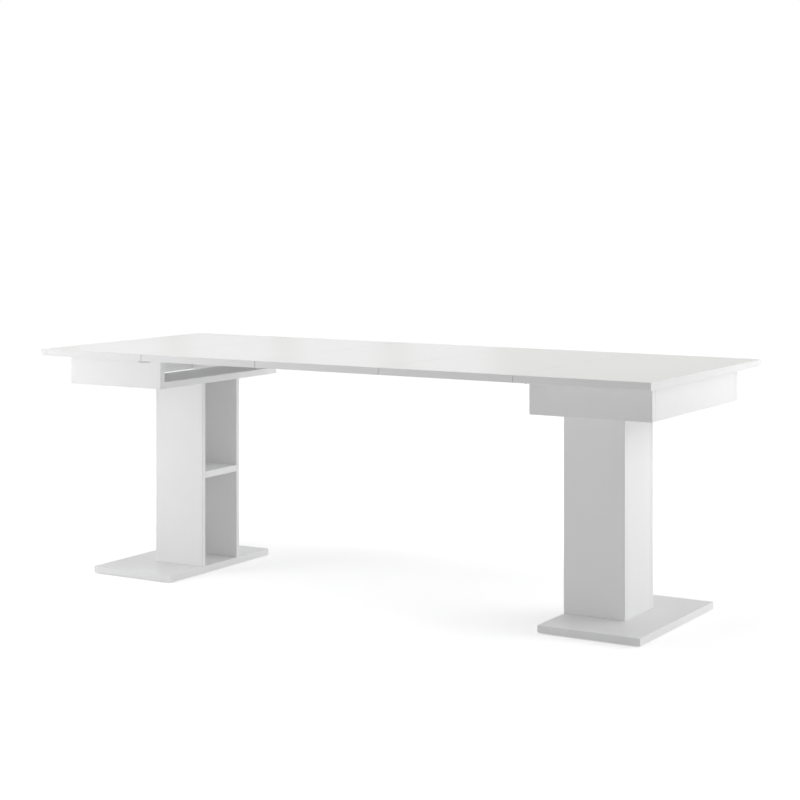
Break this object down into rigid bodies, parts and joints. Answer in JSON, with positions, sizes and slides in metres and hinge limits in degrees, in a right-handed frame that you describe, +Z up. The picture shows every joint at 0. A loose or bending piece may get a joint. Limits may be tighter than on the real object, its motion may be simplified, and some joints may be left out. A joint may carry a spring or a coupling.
{
  "type": "extending dining table",
  "caption": "White extending dining table on two square pedestals with open niches, flat bases, loose leaves and telescopic rails under the top.",
  "frame": {"origin": "on the floor under the middle of the extended table", "axes": "+X along the table towards the right half, +Y from the front edge to the rear edge, +Z up"},
  "size_m": [2.2, 0.85, 0.763],
  "materials": {
    "white_top": "semi-gloss white laminate on board",
    "white_board": "satin white laminate on board",
    "rail_aluminium": "mill-finish extrusion",
    "nylon": "moulded nylon",
    "zinc_steel": "zinc plated",
    "plate_coat": "light grey powder coat on steel",
    "beech_dowel": "bare beech",
    "glide_plastic": "moulded plastic"
  },
  "bodies": {
    "leaf_1": {"leaf_1": "white_top"},
    "leaf_2": {"leaf_2": "white_top"},
    "leaf_3": {"leaf_3": "white_top"},
    "left_half": {"left_base_plate": "white_board", "left_base_screws": "zinc_steel", "left_board_screws": "zinc_steel", "left_bracket_screws": "zinc_steel", "left_dowels": "beech_dowel", "left_end_panel": "white_board", "left_end_top": "white_top", "left_floor_glides": "glide_plastic", "left_front_apron": "white_board", "left_front_column_panel": "white_board", "left_front_rail": "rail_aluminium", "left_leaf_plates": "plate_coat", "left_outer_column_panel": "white_board", "left_pedestal_board": "white_board", "left_rail_brackets": "zinc_steel", "left_rail_stops": "nylon", "left_rear_apron": "white_board", "left_rear_column_panel": "white_board", "left_rear_rail": "rail_aluminium", "left_shelf": "white_board", "left_top_brackets": "zinc_steel"},
    "right_half": {"right_base_plate": "white_board", "right_base_screws": "zinc_steel", "right_board_screws": "zinc_steel", "right_bracket_screws": "zinc_steel", "right_dowels": "beech_dowel", "right_end_panel": "white_board", "right_end_top": "white_top", "right_floor_glides": "glide_plastic", "right_front_apron": "white_board", "right_front_column_panel": "white_board", "right_front_rail": "rail_aluminium", "right_glide_blocks": "nylon", "right_leaf_plates": "plate_coat", "right_outer_column_panel": "white_board", "right_pedestal_board": "white_board", "right_rail_brackets": "zinc_steel", "right_rail_nuts": "zinc_steel", "right_rear_apron": "white_board", "right_rear_column_panel": "white_board", "right_rear_rail": "rail_aluminium", "right_shelf": "white_board", "right_top_brackets": "zinc_steel"},
    "rail_stage_1": {"stage_1_front_rail": "rail_aluminium", "stage_1_glide_blocks": "nylon", "stage_1_rail_stops": "nylon", "stage_1_rear_rail": "rail_aluminium"},
    "rail_stage_2": {"stage_2_front_rail": "rail_aluminium", "stage_2_glide_blocks": "nylon", "stage_2_rail_stops": "nylon", "stage_2_rear_rail": "rail_aluminium"}
  },
  "joints": [
    {"name": "stage_1_slide", "type": "slide", "parent": "left_half", "child": "rail_stage_1", "axis": [1, 0, 0], "range_m": [-0.45, 0]},
    {"name": "stage_2_slide", "type": "slide", "parent": "rail_stage_1", "child": "rail_stage_2", "axis": [1, 0, 0], "range_m": [-0.45, 0]},
    {"name": "stage_3_slide", "type": "slide", "parent": "rail_stage_2", "child": "right_half", "axis": [1, 0, 0], "range_m": [-0.45, 0]},
    {"name": "leaf_1_lift", "type": "slide", "parent": "left_half", "child": "leaf_1", "axis": [0, 0, 1], "range_m": [0, 0.45]},
    {"name": "leaf_2_lift", "type": "slide", "parent": "rail_stage_1", "child": "leaf_2", "axis": [0, 0, 1], "range_m": [0, 0.6]},
    {"name": "leaf_3_lift", "type": "slide", "parent": "rail_stage_2", "child": "leaf_3", "axis": [0, 0, 1], "range_m": [0, 0.75]}
  ],
  "couplings": [
    {"joint": "leaf_1_lift", "follows": "stage_1_slide", "ratio": -1},
    {"joint": "leaf_2_lift", "follows": "stage_2_slide", "ratio": -1.3333},
    {"joint": "leaf_3_lift", "follows": "stage_3_slide", "ratio": -1.6667}
  ]
}
